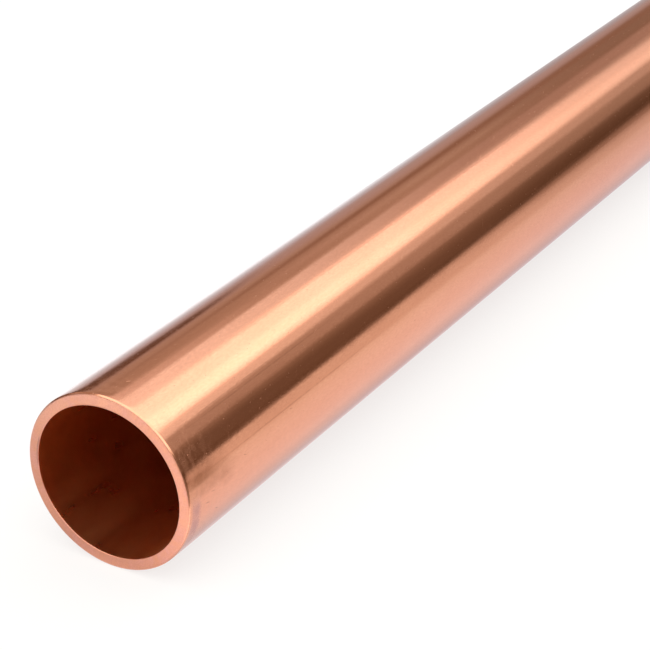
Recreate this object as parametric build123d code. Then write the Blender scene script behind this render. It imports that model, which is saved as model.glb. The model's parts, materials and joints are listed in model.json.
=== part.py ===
from build123d import *
import os

# A straight length of drawn copper tube, in millimetres, lying along X.
# Its underside is at z = 0 and the middle of its length is at x = 0.

# The tube
outer_diameter = 22.0
wall_thickness = 1.5
tube_length = 500.0

# Its two cut ends, which are alike
outer_edge_radius = 0.3  # rounding of the outside edge
bore_edge_bevel = 0.1  # 45 degree bevel where the bore was deburred
neck_length = 2.0  # stretch that the cutting wheel rolled inwards
neck_drop = 0.03  # fall of the outer radius from the neck's start to the cut

# What follows from these
outer_radius = outer_diameter / 2
bore_radius = outer_radius - wall_thickness
half_length = tube_length / 2
neck_start = half_length - neck_length
cut_outer_radius = outer_radius - neck_drop


def corners(outline, distance_from_axis):
    """The two corners of the outline, one at each cut, at this distance from the tube's axis."""
    at_height = outline.vertices().filter_by(lambda corner: abs(corner.Y - distance_from_axis) < 1e-6)
    return at_height.filter_by(lambda corner: abs(abs(corner.X) - half_length) < 1e-6)


def wall_section():
    """The wall cut lengthwise: the axis is Y = 0, and the bore is the outline's lower side."""
    with BuildSketch() as section:
        with BuildLine():
            Line((-neck_start, outer_radius), (neck_start, outer_radius))
            for side in (-1, 1):
                cut = side * half_length
                TangentArc((side * neck_start, outer_radius), (cut, cut_outer_radius), tangent=(side, 0))
                Line((cut, cut_outer_radius), (cut, bore_radius))
            Line((-half_length, bore_radius), (half_length, bore_radius))
        make_face()
        fillet(corners(section, cut_outer_radius), outer_edge_radius)
        chamfer(corners(section, bore_radius), bore_edge_bevel)
    return section.sketch


def copper_tube():
    """The wall turned about its axis, lifted so that the tube lies on z = 0."""
    turned = revolve(wall_section(), Axis.X)
    return Pos(0, 0, outer_radius) * turned


os.makedirs("parts", exist_ok=True)
export_step(copper_tube(), "parts/copper_tube.step")
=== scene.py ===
import json
import math

import bmesh
import bpy
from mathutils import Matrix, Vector


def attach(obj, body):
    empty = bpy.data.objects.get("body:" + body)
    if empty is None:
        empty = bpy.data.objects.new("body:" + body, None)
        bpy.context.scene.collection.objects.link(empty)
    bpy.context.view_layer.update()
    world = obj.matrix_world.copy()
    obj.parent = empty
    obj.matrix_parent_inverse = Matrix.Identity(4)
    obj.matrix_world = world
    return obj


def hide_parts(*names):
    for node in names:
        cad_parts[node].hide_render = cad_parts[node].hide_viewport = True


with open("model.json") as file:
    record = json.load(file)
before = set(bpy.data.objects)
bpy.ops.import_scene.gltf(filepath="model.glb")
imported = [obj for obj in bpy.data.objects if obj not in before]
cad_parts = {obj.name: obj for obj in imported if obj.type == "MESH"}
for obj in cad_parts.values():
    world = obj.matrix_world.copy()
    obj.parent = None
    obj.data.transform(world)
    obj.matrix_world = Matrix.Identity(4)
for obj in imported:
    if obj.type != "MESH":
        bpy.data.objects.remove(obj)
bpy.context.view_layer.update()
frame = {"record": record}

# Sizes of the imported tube, in metres
MOUNTS = {mount["name"]: mount for mount in frame["record"]["mounts"]}
OUTER_RADIUS = MOUNTS["left_end_outside"]["dims"]["r_mm"] / 1000
BORE_RADIUS = MOUNTS["bore"]["dims"]["r_mm"] / 1000
AXIS_HEIGHT = MOUNTS["bore"]["pos_m"][2]
HALF_LENGTH = MOUNTS["right_end_face"]["pos_m"][0]
NECK_LENGTH = HALF_LENGTH - MOUNTS["right_end_outside"]["pos_m"][0]

# The finish of its two cut ends
NECK_DROP = 0.00003
SHOULDER_RADIUS = 0.0003
CUT_SLOPE = 0.00002
BORE_EDGE_BEVEL = 0.0001
RIM_SPREAD = 0.00007

# How finely the tube is divided
ROUND_STEPS = 256
BODY_STEPS = 48
NECK_STEPS = 4
SHOULDER_STEPS = 8
CUT_STEPS = 6
BORE_RINGS = (0.0005, 0.0015, 0.003)  # behind the rim
BEVEL_STEPS = 3
SAME_PLACE = 1e-7  # closer than this is one place


def add_node(tree, kind, inputs=None, **settings):
    """A node with its settings, its plain values and its links from other nodes' outputs."""
    node = tree.nodes.new(kind)
    for name, value in settings.items():
        setattr(node, name, value)
    for socket, value in (inputs or {}).items():
        if isinstance(value, bpy.types.NodeSocket):
            tree.links.new(value, node.inputs[socket])
        else:
            node.inputs[socket].default_value = value
    return node


def calculate(tree, operation, *values):
    """The result of one sum on numbers or outputs."""
    return add_node(tree, "ShaderNodeMath", dict(enumerate(values)), operation=operation).outputs[0]


def ramp_between(tree, value, start, end, low=0.0, high=1.0):
    """Goes smoothly from low to high while value goes from start to end."""
    inputs = {"Value": value, "From Min": start, "From Max": end, "To Min": low, "To Max": high}
    return add_node(tree, "ShaderNodeMapRange", inputs, interpolation_type="SMOOTHSTEP").outputs[0]


def blend_colours(tree, share, first, second):
    """The first colour where share is 0 and the second where it is 1."""
    mix = add_node(tree, "ShaderNodeMix", {0: share, 6: first, 7: second}, data_type="RGBA")
    return mix.outputs[2]


def end_outline():
    """One cut end from its neck to its bore, as places of (distance in from the cut, radius)."""
    places = []
    shoulder_start = SHOULDER_RADIUS + CUT_SLOPE
    for step in range(NECK_STEPS):
        from_cut = NECK_LENGTH + (shoulder_start - NECK_LENGTH) * step / NECK_STEPS
        places.append((from_cut, OUTER_RADIUS - NECK_DROP * (1 - from_cut / NECK_LENGTH) ** 2))
    for step in range(SHOULDER_STEPS + 1):
        turn = math.pi / 2 * (1 - step / SHOULDER_STEPS)
        from_cut = shoulder_start - SHOULDER_RADIUS * math.cos(turn)
        neck = NECK_DROP * (1 - from_cut / NECK_LENGTH) ** 2
        places.append((from_cut, OUTER_RADIUS - neck - SHOULDER_RADIUS * (1 - math.sin(turn))))
    cut_outside = places[-1][1]
    for step in range(1, CUT_STEPS + 1):
        share = step / CUT_STEPS
        places.append((CUT_SLOPE * (1 - share), cut_outside + (BORE_RADIUS - cut_outside) * share))
    return places + [(from_cut, BORE_RADIUS) for from_cut in BORE_RINGS]


def wall_outline(bm):
    """The wall cut lengthwise above the tube's axis: both of its ends, joined by its outside and its bore."""
    right = [(HALF_LENGTH - from_cut, radius) for from_cut, radius in end_outline()]
    left = [(-x, radius) for x, radius in reversed(right)]
    reach = right[0][0]
    outside = [(reach * (2 * step / BODY_STEPS - 1), OUTER_RADIUS) for step in range(1, BODY_STEPS)]
    reach = right[-1][0]
    bore = [(reach * (1 - 2 * step / BODY_STEPS), BORE_RADIUS) for step in range(1, BODY_STEPS)]
    corners = [bm.verts.new((x, 0, radius)) for x, radius in left + outside + right + bore]
    return [bm.edges.new(pair) for pair in zip(corners, corners[1:] + corners[:1])]


def bore_rims(bm):
    """The edges around both openings of the bore."""

    def on_rim(vert):
        at_cut = abs(vert.co.x) > HALF_LENGTH - SAME_PLACE
        return at_cut and abs(math.hypot(vert.co.y, vert.co.z) - BORE_RADIUS) < SAME_PLACE

    return [edge for edge in bm.edges if all(on_rim(vert) for vert in edge.verts)]


def deburr_rims(bm):
    """Leaves both openings a little out of round, with an uneven bevel, as a blade in the hand does."""
    for vert in bm.verts:
        radius = math.hypot(vert.co.y, vert.co.z)
        from_cut = HALF_LENGTH - abs(vert.co.x)
        on_wall = radius < BORE_RADIUS + BORE_EDGE_BEVEL + SAME_PLACE
        if on_wall and from_cut < BORE_RINGS[-1] - SAME_PLACE:
            round_axis = math.atan2(vert.co.z, vert.co.y)
            wider = RIM_SPREAD * (0.5 + math.cos(2 * round_axis - 0.1) + 0.5 * math.cos(round_axis + 0.6))
            uneven = 0.5 + 0.2 * math.sin(3 * round_axis + 1) + 0.12 * math.sin(7 * round_axis)
            fading = (1 - from_cut / BORE_RINGS[-1]) ** 2
            scale = (BORE_RADIUS + wider * fading + (radius - BORE_RADIUS) * uneven) / radius
            vert.co.y *= scale
            vert.co.z *= scale


def finish_of(face):
    """Which finish a face has: 0 for the outside, 1 for the cuts with the bore's bevel, 2 for the bore."""
    middle = face.calc_center_median()
    if math.hypot(middle.y, middle.z) > BORE_RADIUS + 3 * RIM_SPREAD:
        return 1 if abs(face.normal.x) > 0.8 else 0
    return 1 if abs(middle.x) > HALF_LENGTH - BORE_EDGE_BEVEL else 2


def make_tube(outside, cut, bore):
    """The whole tube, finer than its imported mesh, with a finish for its outside, its cuts and its bore."""
    bm = bmesh.new()
    outline = wall_outline(bm)
    bmesh.ops.spin(
        bm,
        geom=outline + bm.verts[:],
        cent=(0, 0, 0),
        axis=(1, 0, 0),
        angle=math.tau,
        steps=ROUND_STEPS,
        use_merge=True,
    )
    bmesh.ops.remove_doubles(bm, verts=bm.verts, dist=SAME_PLACE)
    bmesh.ops.bevel(
        bm,
        geom=bore_rims(bm),
        offset=BORE_EDGE_BEVEL,
        offset_type="OFFSET",
        affect="EDGES",
        segments=BEVEL_STEPS,
        profile=0.5,
        material=-1,
    )
    deburr_rims(bm)
    bmesh.ops.recalc_face_normals(bm, faces=bm.faces)
    for face in bm.faces:
        face.smooth = True
        face.material_index = finish_of(face)
    bmesh.ops.translate(bm, verts=bm.verts, vec=(0, 0, AXIS_HEIGHT))
    mesh = bpy.data.meshes.new("drawn_tube")
    bm.to_mesh(mesh)
    bm.free()
    for material in (outside, cut, bore):
        mesh.materials.append(material)
    tube = bpy.data.objects.new("drawn_tube", mesh)
    bpy.context.scene.collection.objects.link(tube)
    return tube


COPPER = (0.895, 0.43, 0.276, 1)
MM_PER_METRE = 1000
MM_PER_DEGREE = OUTER_RADIUS * MM_PER_METRE * math.pi / 180
METRES_PER_MICROMETRE = 1e-6
OVAL_CORE = 0.35  # share of a soft oval that is full
LINE_RANGE = (0.28, 0.72)  # the noise that counts, of 0 to 1
PATCH_RANGE = (0.3, 0.7)
NOISE_PER_SEED = 0.13  # metres along the noise from one seed to the next
MARKS_PER_SEED = 97  # millimetres round from one seed to the next
SHORTEST_MARK = 0.3  # of its full length


def places_on_tube(tree):
    """Millimetres from the near cut, and degrees round the axis: 0 on the far side, 90 on top, 180 on the near side."""
    place = add_node(tree, "ShaderNodeTexCoord").outputs["Object"]
    split = add_node(tree, "ShaderNodeSeparateXYZ", {0: place})
    from_cut = calculate(tree, "MULTIPLY_ADD", split.outputs["X"], MM_PER_METRE, HALF_LENGTH * MM_PER_METRE)
    height = calculate(tree, "SUBTRACT", split.outputs["Z"], AXIS_HEIGHT)
    from_top = calculate(tree, "ARCTAN2", split.outputs["Y"], height)
    return from_cut, calculate(tree, "MULTIPLY_ADD", from_top, -180 / math.pi, 90)


def oval(tree, along, across, length, width, turn):
    """A soft oval mask about a place, from the distances to it, half its length and width, and its turn."""
    offset = add_node(tree, "ShaderNodeCombineXYZ", {"X": along, "Y": across})
    inputs = {"Vector": offset.outputs[0], "Angle": turn}
    turned = add_node(tree, "ShaderNodeVectorRotate", inputs, rotation_type="Z_AXIS")
    size = add_node(tree, "ShaderNodeCombineXYZ", {"X": length, "Y": width, "Z": 1})
    share = add_node(tree, "ShaderNodeVectorMath", {0: turned.outputs[0], 1: size.outputs[0]}, operation="DIVIDE")
    away = add_node(tree, "ShaderNodeVectorMath", {0: share.outputs[0]}, operation="LENGTH")
    return ramp_between(tree, away.outputs["Value"], 1, OVAL_CORE)


def new_group(name, inputs, output):
    """An empty shader group with number inputs and one number output."""
    group = bpy.data.node_groups.new(name, "ShaderNodeTree")
    for label, value in inputs.items():
        group.interface.new_socket(label, in_out="INPUT", socket_type="NodeSocketFloat").default_value = value
    group.interface.new_socket(output, in_out="OUTPUT", socket_type="NodeSocketFloat")
    return group, group.nodes.new("NodeGroupInput").outputs, group.nodes.new("NodeGroupOutput")


def drawn_lines():
    """Streaks along the tube from the drawing die, as a value about 0.5."""
    group, given, out = new_group("drawn_lines", {"Pitch": 0.5, "Run": 60, "Seed": 0}, "Lines")
    from_cut, degrees = places_on_tube(group)
    across = calculate(group, "MULTIPLY", degrees, MM_PER_DEGREE)
    along = calculate(group, "DIVIDE", from_cut, given["Run"])
    across = calculate(group, "DIVIDE", across, given["Pitch"])
    where = add_node(group, "ShaderNodeCombineXYZ", {"X": along, "Y": across, "Z": given["Seed"]}).outputs[0]
    noise = add_node(group, "ShaderNodeTexNoise", {"Vector": where, "Scale": 1, "Detail": 2, "Roughness": 0.6})
    group.links.new(ramp_between(group, noise.outputs["Fac"], *LINE_RANGE), out.inputs["Lines"])
    return group


def cross_lines():
    """Lines across the wall of the cut, as a value about 0.5."""
    group, given, out = new_group("cross_lines", {"Pitch": 0.3, "Seed": 0}, "Lines")
    _, degrees = places_on_tube(group)
    along_rim = calculate(group, "DIVIDE", calculate(group, "MULTIPLY", degrees, MM_PER_DEGREE), given["Pitch"])
    place = add_node(group, "ShaderNodeTexCoord").outputs["Object"]
    drift = add_node(group, "ShaderNodeTexNoise", {"Vector": place, "Scale": 900, "Detail": 1}).outputs["Fac"]
    drifted = calculate(group, "MULTIPLY_ADD", drift, 1.5, along_rim)
    where = add_node(group, "ShaderNodeCombineXYZ", {"X": drifted, "Y": given["Seed"]}).outputs[0]
    noise = add_node(group, "ShaderNodeTexNoise", {"Vector": where, "Scale": 1, "Detail": 2, "Roughness": 0.6})
    group.links.new(ramp_between(group, noise.outputs["Fac"], *LINE_RANGE), out.inputs["Lines"])
    return group


def blotches():
    """Uneven patches of handling and weather, as a value about 0.5."""
    group, given, out = new_group("blotches", {"Size": 3, "Stretch": 1, "Detail": 3, "Seed": 0}, "Patches")
    place = add_node(group, "ShaderNodeTexCoord").outputs["Object"]
    along = calculate(group, "DIVIDE", 1, given["Stretch"])
    stretch = add_node(group, "ShaderNodeCombineXYZ", {"X": along, "Y": 1, "Z": 1}).outputs[0]
    spread = add_node(group, "ShaderNodeVectorMath", {0: place, 1: stretch}, operation="MULTIPLY").outputs[0]
    shift = calculate(group, "MULTIPLY", given["Seed"], NOISE_PER_SEED)
    spread = add_node(group, "ShaderNodeVectorMath", {0: spread, 1: shift}).outputs[0]
    scale = calculate(group, "DIVIDE", MM_PER_METRE, given["Size"])
    inputs = {"Vector": spread, "Scale": scale, "Detail": given["Detail"], "Roughness": 0.55}
    noise = add_node(group, "ShaderNodeTexNoise", inputs)
    group.links.new(ramp_between(group, noise.outputs["Fac"], *PATCH_RANGE), out.inputs["Patches"])
    return group


def scattered_marks():
    """Short scratches or specks at random places and turns, as a mask."""
    inputs = {"Spacing": 5, "Length": 1, "Width": 0.05, "Turn": 0, "Spread": 1.5, "Share": 0.5, "Seed": 0}
    group, given, out = new_group("scattered_marks", inputs, "Mask")
    from_cut, degrees = places_on_tube(group)
    shift = calculate(group, "MULTIPLY", given["Seed"], MARKS_PER_SEED)
    across = calculate(group, "MULTIPLY_ADD", degrees, MM_PER_DEGREE, shift)
    place = add_node(group, "ShaderNodeCombineXYZ", {"X": from_cut, "Y": across}).outputs[0]
    rate = calculate(group, "DIVIDE", 1, given["Spacing"])
    where = add_node(group, "ShaderNodeVectorMath", {0: place, "Scale": rate}, operation="SCALE").outputs[0]
    cell = add_node(group, "ShaderNodeTexVoronoi", {"Vector": where, "Scale": 1}, voronoi_dimensions="2D")
    offset = add_node(group, "ShaderNodeVectorMath", {0: where, 1: cell.outputs["Position"]}, operation="SUBTRACT")
    offset = add_node(
        group, "ShaderNodeVectorMath", {0: offset.outputs[0], "Scale": given["Spacing"]}, operation="SCALE"
    )
    offset = add_node(group, "ShaderNodeSeparateXYZ", {0: offset.outputs[0]}).outputs
    chance = add_node(group, "ShaderNodeSeparateColor", {0: cell.outputs["Color"]}).outputs
    swing = calculate(group, "MULTIPLY", calculate(group, "SUBTRACT", chance["Red"], 0.5), given["Spread"])
    turn = calculate(group, "ADD", given["Turn"], swing)
    share = calculate(group, "MULTIPLY_ADD", chance["Green"], 1 - SHORTEST_MARK, SHORTEST_MARK)
    length = calculate(group, "MULTIPLY", given["Length"], share)
    mask = oval(group, offset["X"], offset["Y"], length, given["Width"], turn)
    kept = calculate(group, "LESS_THAN", chance["Blue"], given["Share"])
    group.links.new(calculate(group, "MULTIPLY", mask, kept), out.inputs["Mask"])
    return group


def single_mark():
    """One mark at its own place, as a mask."""
    inputs = {"From Cut": 5, "Round": 90, "Length": 1, "Width": 0.1, "Turn": 0}
    group, given, out = new_group("single_mark", inputs, "Mask")
    from_cut, degrees = places_on_tube(group)
    along = calculate(group, "SUBTRACT", from_cut, given["From Cut"])
    across = calculate(group, "MULTIPLY", calculate(group, "SUBTRACT", degrees, given["Round"]), MM_PER_DEGREE)
    group.links.new(oval(group, along, across, given["Length"], given["Width"], given["Turn"]), out.inputs["Mask"])
    return group


DRAWN_LINES = drawn_lines()
CROSS_LINES = cross_lines()
BLOTCHES = blotches()
SCATTERED_MARKS = scattered_marks()
SINGLE_MARK = single_mark()


def placed(tree, group, **values):
    """The output of one of the groups above with its own values."""
    names = {name.replace("_", " ").title(): value for name, value in values.items()}
    return add_node(tree, "ShaderNodeGroup", names, node_tree=group).outputs[0]


def marks_at(tree, marks):
    """One mask for several single marks, each with its strength."""
    mask = 0
    for from_cut, degrees, length, width, turn, strength in marks:
        one = placed(
            tree, SINGLE_MARK, from_cut=from_cut, round=degrees, length=length, width=width, turn=math.radians(turn)
        )
        mask = calculate(tree, "MULTIPLY_ADD", one, strength, mask)
    return add_node(tree, "ShaderNodeClamp", {"Value": mask}).outputs[0]


def total(tree, *shares):
    """The sum of outputs, each times its number, after a first plain number."""
    result = shares[0]
    for output, amount in shares[1:]:
        result = calculate(tree, "MULTIPLY_ADD", output, amount, result)
    return result


def new_metal(name):
    """A bare metal with its shader, ready for its colour, roughness and relief."""
    material = bpy.data.materials.new(name)
    material.use_nodes = True
    shader = material.node_tree.nodes["Principled BSDF"]
    shader.inputs["Metallic"].default_value = 1
    return material, material.node_tree, shader


def finish_metal(tree, shader, colour, roughness, relief):
    """Sets what changes over a metal: relief is its height in micrometres."""
    tree.links.new(colour, shader.inputs["Base Color"])
    tree.links.new(roughness, shader.inputs["Roughness"])
    height = calculate(tree, "MULTIPLY", relief, METRES_PER_MICROMETRE)
    bump = add_node(tree, "ShaderNodeBump", {"Height": height, "Strength": 1, "Distance": 1})
    tree.links.new(bump.outputs[0], shader.inputs["Normal"])


# Single marks on the outside, and one painted shade line: mm from the near cut, degrees round, half length, half width,
# turn, strength
BRIGHT_NICKS = [
    (2, 150, 0.16, 0.07, 0, 0.9),
    (9.7, 146, 0.2, 0.06, 0, 0.6),
    (10, 151.5, 0.14, 0.06, 0, 0.5),
    (16.7, 150, 0.3, 0.08, 10, 0.55),
    (4.2, 92, 0.4, 0.09, -40, 0.9),
    (5.2, 146, 0.7, 0.05, 70, 0.25),
]
SCORED_LINES = [
    (17, 142.5, 17, 0.06, 0, 0.3),
    (11, 85, 12, 0.08, 0, 0.35),
    (24, 139.2, 9, 0.05, -0.5, 0.25),
]
DARK_NICKS = [
    (5.6, 194.5, 0.45, 0.09, -25, 0.5),
    (3.5, 184.5, 0.5, 0.1, -15, 0.4),
    (4.6, 179.5, 0.6, 0.07, -15, 0.4),
    (11.2, 173, 0.4, 0.07, -20, 0.4),
    (21.2, 167.5, 0.4, 0.07, -10, 0.4),
]
# The first of these dark lines is painted shade. It stands for the reflection of a shadow line along the near edge of
# the sheet, not for a mark on the tube.
DARK_AND_SHADOW_LINES = [
    (22, 165.4, 26, 0.14, 0, 0.24),
    (19, 137.6, 20, 0.12, 0, 0.22),
    (12, 134.6, 13, 0.1, 0, 0.2),
    (60, 111, 60, 0.12, 0, 0.12),
]
SMUDGES = [
    (0, 161.5, 9, 1.3, 0, 0.6),
    (1.5, 166.3, 8, 0.9, 0, 0.5),
    (4, 171.5, 6.5, 1.7, 0, 0.42),
    (7.4, 177.5, 2, 1.2, 0, 0.2),
    (14, 145, 4, 1.4, 0, 0.1),
]


def bright_drawn_copper():
    """The bright outside, with lines from the die, fine scratches, specks, marks of handling near the cut, and one
    painted shade line that stands for a reflected shadow.
    """
    material, tree, shader = new_metal("bright_drawn_copper")
    fine = placed(tree, DRAWN_LINES, pitch=0.26, run=30, seed=1)
    broad = placed(tree, DRAWN_LINES, pitch=1.1, run=160, seed=2)
    dotted = placed(tree, DRAWN_LINES, pitch=0.2, run=0.6, seed=3)
    grain = placed(tree, BLOTCHES, size=0.42, stretch=1.8, detail=2, seed=3)
    patches = placed(tree, BLOTCHES, size=2.4, stretch=2.5, seed=1)
    clouds = placed(tree, BLOTCHES, size=14, stretch=2, seed=2)
    scratches = placed(
        tree, SCATTERED_MARKS, spacing=3.2, length=1.1, width=0.04, turn=0, spread=1.2, share=0.6, seed=1
    )
    crossing = placed(
        tree, SCATTERED_MARKS, spacing=4, length=1.7, width=0.035, turn=1.3, spread=1.2, share=0.4, seed=2
    )
    specks = placed(tree, SCATTERED_MARKS, spacing=1.7, length=0.14, width=0.07, share=0.4, seed=3)
    from_cut, degrees = places_on_tube(tree)
    near_cut = ramp_between(tree, from_cut, 9, 0)
    haze = placed(tree, BLOTCHES, size=1.4, stretch=0.55, detail=3, seed=6)
    haze = calculate(tree, "MULTIPLY", near_cut, ramp_between(tree, haze, 0.35, 0.85))
    worn_end = calculate(tree, "MULTIPLY", ramp_between(tree, from_cut, 30, 2), grain)
    nicks = marks_at(tree, BRIGHT_NICKS)
    broken = ramp_between(tree, placed(tree, BLOTCHES, size=0.8, stretch=2, seed=4), 0.1, 0.6, 0.35, 1)
    scored = calculate(tree, "MULTIPLY", marks_at(tree, SCORED_LINES), broken)
    # Dark lines, the first of them a painted reflection of a shadow line on the sheet
    dark_and_shadow_lines = calculate(tree, "MULTIPLY", marks_at(tree, DARK_AND_SHADOW_LINES), broken)
    dark = calculate(tree, "MAXIMUM", marks_at(tree, DARK_NICKS), dark_and_shadow_lines)
    uneven = total(tree, 0.55, (patches, 0.15), (placed(tree, BLOTCHES, size=1.3, stretch=1.2, seed=5), 0.5))
    smudged = calculate(tree, "MULTIPLY", marks_at(tree, SMUDGES), uneven)
    dull = total(tree, 1.0, (haze, -0.075), (worn_end, -0.012))
    collar = calculate(
        tree, "MULTIPLY", ramp_between(tree, from_cut, 0.3, 0.8), ramp_between(tree, from_cut, 2.5, 1.6)
    )
    collar_side = calculate(
        tree, "MULTIPLY", ramp_between(tree, degrees, 173, 184), ramp_between(tree, degrees, 214, 196)
    )
    collar = calculate(tree, "MULTIPLY", calculate(tree, "MULTIPLY", collar, collar_side), uneven)

    colour = blend_colours(tree, calculate(tree, "MULTIPLY", broad, 0.5), COPPER, (0.865, 0.385, 0.235, 1))
    colour = blend_colours(tree, calculate(tree, "MULTIPLY", clouds, 0.4), colour, (0.885, 0.425, 0.285, 1))
    colour = blend_colours(tree, calculate(tree, "MULTIPLY", patches, 0.25), colour, (0.83, 0.37, 0.23, 1))
    colour = blend_colours(tree, calculate(tree, "MULTIPLY", dotted, 0.22), colour, (0.7, 0.28, 0.17, 1))
    colour = blend_colours(tree, calculate(tree, "MULTIPLY", grain, 0.15), colour, (0.72, 0.31, 0.2, 1))
    colour = blend_colours(tree, smudged, colour, (0.47, 0.19, 0.105, 1))
    colour = blend_colours(tree, collar, colour, (0.66, 0.33, 0.265, 1))
    # Dark nicks and lines in dark brown, one line of them painted shade
    colour = blend_colours(tree, dark, colour, (0.3, 0.11, 0.06, 1))
    colour = blend_colours(tree, calculate(tree, "MULTIPLY", specks, 0.25), colour, (0.3, 0.12, 0.07, 1))

    worn = calculate(tree, "MAXIMUM", scratches, crossing)
    roughness = total(
        tree, 0.07, (fine, 0.03), (patches, 0.03), (haze, 0.03), (worn, 0.13), (scored, 0.3), (nicks, 0.45)
    )
    roughness = total(tree, roughness, (dotted, 0.05), (specks, 0.25), (dark, 0.1), (smudged, 0.05), (collar, 0.2))
    relief = total(tree, 0.0, (fine, 0.24), (broad, 0.5), (patches, 0.5), (worn, -0.7), (nicks, -3.0), (scored, -1.2))
    relief = total(tree, relief, (grain, 0.55), (dotted, 0.3), (specks, -2.0))
    tree.links.new(dull, shader.inputs["Metallic"])
    finish_metal(tree, shader, colour, roughness, relief)
    return material


def sawn_copper():
    """The cut face, satin and rosy, with lines across the wall and a fine uneven grain."""
    material, tree, shader = new_metal("sawn_copper")
    grain = placed(tree, BLOTCHES, size=0.2, detail=3, seed=11)
    patches = placed(tree, BLOTCHES, size=1.1, detail=2, seed=12)
    clouds = placed(tree, BLOTCHES, size=6, detail=1, seed=13)
    across = placed(tree, CROSS_LINES, pitch=0.3, seed=4)
    colour = blend_colours(
        tree, calculate(tree, "MULTIPLY", patches, 0.9), (0.84, 0.37, 0.22, 1), (0.84, 0.41, 0.34, 1)
    )
    colour = blend_colours(tree, calculate(tree, "MULTIPLY", clouds, 0.6), colour, (0.95, 0.45, 0.29, 1))
    colour = blend_colours(tree, calculate(tree, "MULTIPLY", grain, 0.5), colour, (0.72, 0.32, 0.22, 1))
    colour = blend_colours(tree, calculate(tree, "MULTIPLY", across, 0.35), colour, (0.74, 0.33, 0.22, 1))
    roughness = total(tree, 0.33, (grain, 0.08), (patches, 0.08))
    relief = total(tree, 0.0, (grain, 2.5), (patches, 6.0), (across, 2.5))
    finish_metal(tree, shader, colour, roughness, relief)
    return material


def bore_copper():
    """The inside, a deeper red brown with faint streaks, patches and dust."""
    material, tree, shader = new_metal("bore_copper")
    streaks = placed(tree, DRAWN_LINES, pitch=2.2, run=14, seed=21)
    patches = placed(tree, BLOTCHES, size=3, stretch=2, seed=22)
    dust = placed(tree, SCATTERED_MARKS, spacing=3, length=0.14, width=0.07, share=0.25, seed=23)
    colour = blend_colours(
        tree, calculate(tree, "MULTIPLY", streaks, 0.4), (0.965, 0.495, 0.21, 1), (0.94, 0.47, 0.195, 1)
    )
    colour = blend_colours(tree, calculate(tree, "MULTIPLY", patches, 0.4), colour, (0.97, 0.515, 0.235, 1))
    colour = blend_colours(tree, calculate(tree, "MULTIPLY", dust, 0.5), colour, (0.9, 0.6, 0.45, 1))
    roughness = total(tree, 0.255, (streaks, 0.05), (patches, 0.05), (dust, 0.3))
    relief = total(tree, 0.0, (streaks, 1.5), (patches, 2.0))
    finish_metal(tree, shader, colour, roughness, relief)
    return material


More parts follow.
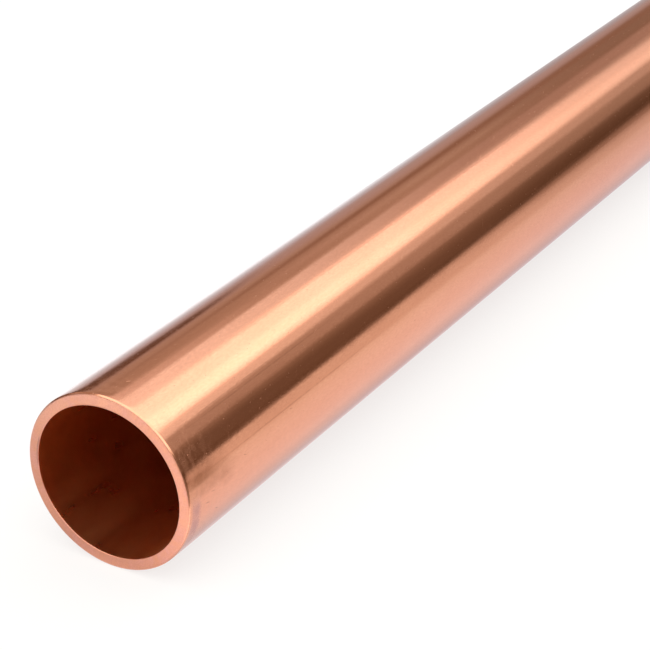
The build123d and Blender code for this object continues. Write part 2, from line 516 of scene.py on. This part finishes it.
# The studio above the floor, as the tube sees it. Angles go round the tube's axis in degrees: 0 is level on the far
# side, 90 is straight up and 180 is level on the near side. Reach is how far towards +X for each unit away from the
# axis: the tube reflects a reach of about 1 near its near cut and up to 1.8 further on, and its cut end less. A slant
# is the degrees that an edge moves for each unit of reach past 1, and the soft edges widen with reach.
ROOM = (0.45, 0.373, 0.305, 1)
ROOM_FAR = (0.28, 0.22, 0.17, 1)
ROOM_FADE = (1.3, 1.75)
EDGE_SPREAD = 2.3
SLANTED_REACH = (-0.2, 1)  # past a reach of 1, where slants hold
STRAIGHT_DOWN = -90
PANELS = [
    # name, start and end, their soft edges, their slants, light, light at the far reach, reach where it changes,
    # and reach where it comes and goes
    ("far wall", (-12, 22), (4, 10), (0, 0), (0.47, 0.41, 0.4, 1), (0.46, 0.39, 0.38, 1), (1.3, 1.6), None),
    ("wall foot", (-12, 6), (4, 6), (0, 0), (0.5, 0.5, 0.54, 1), (0.45, 0.41, 0.4, 1), (1.15, 1.4), None),
    (
        "low shelf", (4.8, 19.6), (4, 5), (55, 3), (0.135, 0.075, 0.045, 1), (0.46, 0.4, 0.39, 1), (1.1, 1.15),
        (-9, -8, 1.1, 1.16),
    ),
    ("rail", (32, 37), (4, 4), (-14, -2), (0.39, 0.31, 0.25, 1), (0.28, 0.19, 0.135, 1), (0.98, 1.3), None),
    (
        "picture rail", (43, 51), (4, 4), (0, 0), (0.52, 0.44, 0.38, 1), (0.5, 0.44, 0.37, 1), (1.2, 1.4),
        (1.12, 1.24, 1.42, 1.6),
    ),
    (
        "side reflector", (53, 83), (4, 3), (4, 0), (0.86, 0.78, 0.73, 1), (0.86, 0.78, 0.73, 1), (1, 2),
        (-9, -8, 0.92, 1.2),
    ),
    ("side softbox", (64, 83), (2.5, 3), (-6, 0), (1.2, 1.22, 1.2, 1), (0.42, 0.35, 0.305, 1), (0.95, 1.55), None),
    (
        "softbox lip", (76.5, 83), (5, 3), (0, 0), (0.53, 0.5, 0.47, 1), (0.42, 0.38, 0.34, 1), (1.4, 1.6),
        (1.33, 1.48, 8, 9),
    ),
    (
        "main softbox", (82.4, 123.8), (5, 5), (2.5, -7), (1.82, 1.77, 1.69, 1), (0.94, 0.91, 0.86, 1), (1.1, 1.8),
        None,
    ),
    (
        "bright strip", (104, 118.3), (8, 5), (-2, -10), (2.2, 2.22, 2.1, 1), (1.22, 1.23, 1.18, 1), (1.03, 1.74),
        None,
    ),
    (
        "softbox frame", (123.8, 135), (3, 3), (-7, -3), (1.04, 1.02, 0.97, 1), (0.56, 0.52, 0.47, 1), (0.85, 1.75),
        None,
    ),
    ("near wall", (135, 200), (3, 3), (-3, 0), (0.47, 0.41, 0.355, 1), (0.37, 0.33, 0.28, 1), (1.3, 1.65), None),
    ("doorway", (151.6, 200), (2.5, 2), (-2.5, 0), (0.3, 0.24, 0.185, 1), (0.21, 0.17, 0.13, 1), (1.25, 1.6), None),
    (
        "dark doorway", (156.3, 200), (12, 2), (-1, 0), (0.172, 0.128, 0.092, 1), (0.108, 0.077, 0.05, 1),
        (1.3, 1.7), None,
    ),
    (
        "under the sheet", (173.5, 200), (4, 2), (-3, 0), (0.145, 0.1, 0.066, 1), (0.1, 0.07, 0.045, 1),
        (1.2, 1.5), None,
    ),
    (
        "sheet edge", (183.0, 200), (2.5, 3), (-11, 0), (0.725, 0.65, 0.58, 1), (0.32, 0.265, 0.22, 1),
        (1.2, 1.65), None,
    ),
]
# The window in front of the cut end. It shows on the cut's rounded edges, it is the main light of the bore, and from
# the far side it shows as a wide band along the tube.
WINDOW = (2.0, 1.92, 1.78, 1)
WINDOW_ANGLES = (46, 56, 140, 157)
WINDOW_REACH = (-0.15, 0.35)
WINDOW_LEAN = 18  # degrees that its lower edge moves for each unit of reach below its foot
WINDOW_FOOT = -0.2
WINDOW_SLANT = 10  # degrees that its upper edge on the near side moves for each unit of reach below its corner
WINDOW_CORNER = -1


def light_studio():
    """Soft panels in a dim room, for all that the tube reflects, and plain white for the camera."""
    world = bpy.data.worlds.new("studio")
    world.use_nodes = True
    tree = world.node_tree
    tree.nodes.clear()
    towards = add_node(tree, "ShaderNodeTexCoord").outputs["Generated"]
    split = add_node(tree, "ShaderNodeSeparateXYZ", {0: towards})
    radians = calculate(tree, "ARCTAN2", split.outputs["Z"], split.outputs["Y"])
    angle = calculate(tree, "MULTIPLY", radians, 180 / math.pi)
    angle = calculate(tree, "WRAP", angle, STRAIGHT_DOWN + 360, STRAIGHT_DOWN)
    across = add_node(tree, "ShaderNodeCombineXYZ", {"Y": split.outputs["Y"], "Z": split.outputs["Z"]})
    away = add_node(tree, "ShaderNodeVectorMath", {0: across.outputs[0]}, operation="LENGTH")
    reach = calculate(tree, "DIVIDE", split.outputs["X"], away.outputs["Value"])
    least, most = SLANTED_REACH
    past = calculate(tree, "SUBTRACT", reach, 1)
    past = add_node(tree, "ShaderNodeClamp", {"Value": past, "Min": least, "Max": most}).outputs[0]
    spread = calculate(tree, "MULTIPLY_ADD", calculate(tree, "MAXIMUM", past, 0), EDGE_SPREAD, 1)
    light = blend_colours(tree, ramp_between(tree, reach, *ROOM_FADE), ROOM, ROOM_FAR)
    for _, (start, end), (soft_start, soft_end), (slant_start, slant_end), near, far, change, shown in PANELS:
        from_start = calculate(tree, "MULTIPLY_ADD", past, -slant_start, calculate(tree, "SUBTRACT", angle, start))
        from_end = calculate(tree, "MULTIPLY_ADD", past, -slant_end, calculate(tree, "SUBTRACT", angle, end))
        starts = calculate(tree, "DIVIDE", from_start, spread)
        ends = calculate(tree, "DIVIDE", from_end, spread)
        starts = ramp_between(tree, starts, -soft_start / 2, soft_start / 2)
        ends = ramp_between(tree, ends, -soft_end / 2, soft_end / 2, 1, 0)
        share = calculate(tree, "MULTIPLY", starts, ends)
        if shown:
            share = calculate(tree, "MULTIPLY", share, ramp_between(tree, reach, shown[0], shown[1]))
            share = calculate(tree, "MULTIPLY", share, ramp_between(tree, reach, shown[2], shown[3], 1, 0))
        level = blend_colours(tree, ramp_between(tree, reach, *change), near, far)
        light = blend_colours(tree, share, light, level)
    begins, full, falls, gone = WINDOW_ANGLES
    foot = calculate(tree, "MINIMUM", calculate(tree, "SUBTRACT", reach, WINDOW_FOOT), 0)
    leaning = calculate(tree, "MULTIPLY_ADD", foot, -WINDOW_LEAN, angle)
    corner = calculate(tree, "MINIMUM", calculate(tree, "SUBTRACT", reach, WINDOW_CORNER), 0)
    slanted = calculate(tree, "MULTIPLY_ADD", corner, WINDOW_SLANT, angle)
    window = calculate(
        tree, "MULTIPLY", ramp_between(tree, leaning, begins, full), ramp_between(tree, slanted, falls, gone, 1, 0)
    )
    window = calculate(tree, "MULTIPLY", window, ramp_between(tree, reach, *WINDOW_REACH, 1, 0))
    light = blend_colours(tree, window, light, WINDOW)
    path = add_node(tree, "ShaderNodeLightPath")
    seen = calculate(tree, "MAXIMUM", path.outputs["Is Camera Ray"], path.outputs["Is Transmission Ray"])
    light = blend_colours(tree, seen, light, WHITE)
    background = add_node(tree, "ShaderNodeBackground", {"Color": light, "Strength": 1})
    output = add_node(tree, "ShaderNodeOutputWorld")
    tree.links.new(background.outputs[0], output.inputs["Surface"])
    bpy.context.scene.world = world


# The sheet under the tube, as its reflections show it, in strips along it: metres from below the tube's axis, where
# minus is the near side, and the light that the tube shows up to 30 mm from its near cut, and from 120 mm on
SHEET_SPAN = 1.2
SHOWN_AT_CHANGE = (0.03, 0.12)
SHEET = [
    # warm shade of the stand
    (-0.16, (0.73, 0.66, 0.59, 1), (0.37, 0.31, 0.27, 1)),
    (-0.053, (0.72, 0.64, 0.57, 1), (0.6, 0.56, 0.53, 1)),
    # plain sheet
    (-0.045, (0.88, 0.875, 0.835, 1), (0.67, 0.65, 0.635, 1)),
    (-0.014, (0.96, 0.91, 0.95, 1), (0.82, 0.77, 0.84, 1)),
    (0.02, (0.98, 0.97, 0.96, 1), (0.64, 0.63, 0.67, 1)),
    # cool daylight behind the tube, and where it fades
    (0.045, (1.13, 1.37, 1.53, 1), (0.47, 0.49, 0.55, 1)),
    (0.088, (0.64, 0.83, 0.97, 1), (0.32, 0.34, 0.38, 1)),
    (0.25, (0.46, 0.53, 0.65, 1), (0.31, 0.3, 0.35, 1)),
]
# Painted shadow: reflections see the sheet darker in a strip under the tube, lighter in its middle. These are its
# colours near the cut and further on, and where it changes.
PAINTED_SHADOW_UNDER_TUBE = (0.69, 0.7, 0.78, 1)
PAINTED_SHADOW_UNDER_TUBE_FAR = (0.66, 0.61, 0.67, 1)
PAINTED_SHADOW_UNDER_TUBE_CHANGE = (0.015, 0.055)
PAINTED_SHADOW_SIDE = (0.0075, 0.015)  # half the width of the painted shadow strip under the tube
PAINTED_SHADOW_ENDS = (-0.002, 0.006)  # past the cuts
SHADOW_LIGHTER_MIDDLE = (0.0059, 0.008)  # half the width of its lighter middle
SHADOW_MIDDLE_SHARE = 0.9

# Which place on the tube shows a place on the sheet, seen from the photograph's side: metres from the near cut, less
# the first number for each metre beside the axis, and then divided by 1 plus the second for each metre beside it
SHOWN_LEAN = 0.92
SHOWN_SPREAD = 5.73

WHITE = (1, 1, 1, 1)
FLOOR_COLOUR = (0.9, 0.9, 0.9, 1)
FLOOR_SIZE = 6  # to each side
FLOOR_NEAR_EDGE = -0.3
WHITE_SHARE = 0.75  # of plain white in what the camera sees, over the floor's own shade
SHEET_SHARE = 0.85  # of the sheet in what reflections see

# In front of the cut, in metres: there the sheet is lighter towards the window, up to its front edge, which runs
# at a slant, and past that edge all is dark
BEFORE_CUT = (-0.001, 0.002)  # past the near cut
FRONT_GLOW = (0.251, 0.266)
FRONT_GLOW_TURN = 0.75
FRONT_LIGHT = (0.72, 1.54)
FRONT_EDGE = (0.2845, 0.291)
FRONT_EDGE_TURN = 1.0
PAST_SHEET = (0.3, 0.23, 0.18, 1)


def lay_floor():
    """A wide white floor with a soft shadow of the tube, which reflections see as the sheet above, with a painted
    shadow under the tube.
    """
    material = bpy.data.materials.new("white_floor")
    material.use_nodes = True
    tree = material.node_tree
    shader = tree.nodes["Principled BSDF"]
    shader.inputs["Base Color"].default_value = FLOOR_COLOUR
    shader.inputs["Roughness"].default_value = 1
    shader.inputs["Specular IOR Level"].default_value = 0
    place = add_node(tree, "ShaderNodeTexCoord").outputs["Object"]
    split = add_node(tree, "ShaderNodeSeparateXYZ", {0: place})
    along, across = split.outputs["X"], split.outputs["Y"]
    share = calculate(tree, "MULTIPLY_ADD", across, 1 / SHEET_SPAN, 0.5)
    near, far = (add_node(tree, "ShaderNodeValToRGB", {"Fac": share}) for _ in range(2))
    for ramp, colours in ((near, 1), (far, 2)):
        stops = ramp.color_ramp.elements
        while len(stops) < len(SHEET):
            stops.new(1)
        for stop, place in zip(stops, SHEET):
            stop.position = place[0] / SHEET_SPAN + 0.5
            stop.color = place[colours]
    beside = calculate(tree, "ABSOLUTE", across)
    past_cut = calculate(tree, "MULTIPLY_ADD", beside, -SHOWN_LEAN, calculate(tree, "ADD", along, HALF_LENGTH))
    shown_at = calculate(tree, "DIVIDE", past_cut, calculate(tree, "MULTIPLY_ADD", beside, SHOWN_SPREAD, 1))
    shown_far = ramp_between(tree, shown_at, *SHOWN_AT_CHANGE)
    sheet = blend_colours(tree, shown_far, near.outputs["Color"], far.outputs["Color"])
    # A painted shadow on the sheet under the tube, seen only by reflections, lighter in its middle
    ends = [HALF_LENGTH + past for past in PAINTED_SHADOW_ENDS]
    painted_shadow = calculate(
        tree,
        "MULTIPLY",
        ramp_between(tree, beside, *PAINTED_SHADOW_SIDE, 1, 0),
        ramp_between(tree, calculate(tree, "ABSOLUTE", along), *ends, 1, 0),
    )
    shadow_middle = calculate(tree, "MULTIPLY", ramp_between(tree, beside, *SHADOW_LIGHTER_MIDDLE, 1, 0), -SHADOW_MIDDLE_SHARE)
    painted_shadow = calculate(tree, "MULTIPLY", painted_shadow, calculate(tree, "ADD", shadow_middle, 1))
    under = blend_colours(tree, ramp_between(tree, shown_at, *PAINTED_SHADOW_UNDER_TUBE_CHANGE), PAINTED_SHADOW_UNDER_TUBE, PAINTED_SHADOW_UNDER_TUBE_FAR)
    sheet = blend_colours(tree, painted_shadow, sheet, under)
    forward = calculate(tree, "MULTIPLY", along, -1)
    towards_window = calculate(tree, "MULTIPLY_ADD", across, -FRONT_GLOW_TURN, forward)
    glow = ramp_between(tree, towards_window, *FRONT_GLOW, *FRONT_LIGHT)
    before_cut = ramp_between(tree, forward, *[HALF_LENGTH + past for past in BEFORE_CUT])
    glow = add_node(tree, "ShaderNodeCombineColor", {0: glow, 1: glow, 2: glow}).outputs[0]
    lit = blend_colours(tree, before_cut, WHITE, glow)
    sheet = add_node(
        tree, "ShaderNodeMix", {0: 1, 6: sheet, 7: lit}, data_type="RGBA", blend_type="MULTIPLY"
    ).outputs[2]
    past_edge = calculate(tree, "MULTIPLY_ADD", across, -FRONT_EDGE_TURN, forward)
    sheet = blend_colours(tree, ramp_between(tree, past_edge, *FRONT_EDGE), sheet, PAST_SHEET)
    path = add_node(tree, "ShaderNodeLightPath")
    seen = calculate(tree, "MAXIMUM", path.outputs["Is Camera Ray"], path.outputs["Is Transmission Ray"])
    colour = blend_colours(tree, seen, sheet, WHITE)
    shown = add_node(tree, "ShaderNodeEmission", {"Color": colour, "Strength": 1})
    white_share = calculate(tree, "MULTIPLY", seen, WHITE_SHARE)
    shares = calculate(tree, "MULTIPLY_ADD", path.outputs["Is Glossy Ray"], SHEET_SHARE, white_share)
    mix = add_node(tree, "ShaderNodeMixShader", {0: shares, 1: shader.outputs[0], 2: shown.outputs[0]})
    tree.links.new(mix.outputs[0], tree.nodes["Material Output"].inputs["Surface"])
    bm = bmesh.new()
    bmesh.ops.create_grid(bm, x_segments=1, y_segments=1, size=FLOOR_SIZE)
    bmesh.ops.bisect_plane(
        bm,
        geom=bm.verts[:] + bm.edges[:] + bm.faces[:],
        plane_co=(0, FLOOR_NEAR_EDGE, 0),
        plane_no=(0, -1, 0),
        clear_outer=True,
    )
    mesh = bpy.data.meshes.new("floor")
    bm.to_mesh(mesh)
    bm.free()
    mesh.materials.append(material)
    floor = bpy.data.objects.new("floor", mesh)
    bpy.context.scene.collection.objects.link(floor)


# The camera looks past the near cut end, 27 degrees down and 31 degrees across the tube
LENS = 117.3
PITCH = math.radians(26.99)
HEADING = math.radians(30.92)
EYE_FROM_CUT = (-14.541, -11.259, 11.086)  # in outer radii, from the middle of the near cut


def place_camera():
    """A level camera at the photograph's viewing angle."""
    camera = bpy.data.cameras.new("camera")
    camera.sensor_width = 36
    camera.lens = LENS
    camera.clip_start = 0.01
    eye = bpy.data.objects.new("camera", camera)
    near_cut = Vector((-HALF_LENGTH, 0, AXIS_HEIGHT))
    eye.location = near_cut + OUTER_RADIUS * Vector(EYE_FROM_CUT)
    eye.rotation_euler = (math.pi / 2 - PITCH, 0, HEADING - math.pi / 2)
    bpy.context.scene.collection.objects.link(eye)
    bpy.context.scene.camera = eye


tube = make_tube(bright_drawn_copper(), sawn_copper(), bore_copper())
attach(tube, "root")
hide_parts("copper_tube")

light_studio()
lay_floor()
place_camera()

scene = bpy.context.scene
scene.view_settings.view_transform = "Standard"
scene.cycles.glossy_bounces = 12
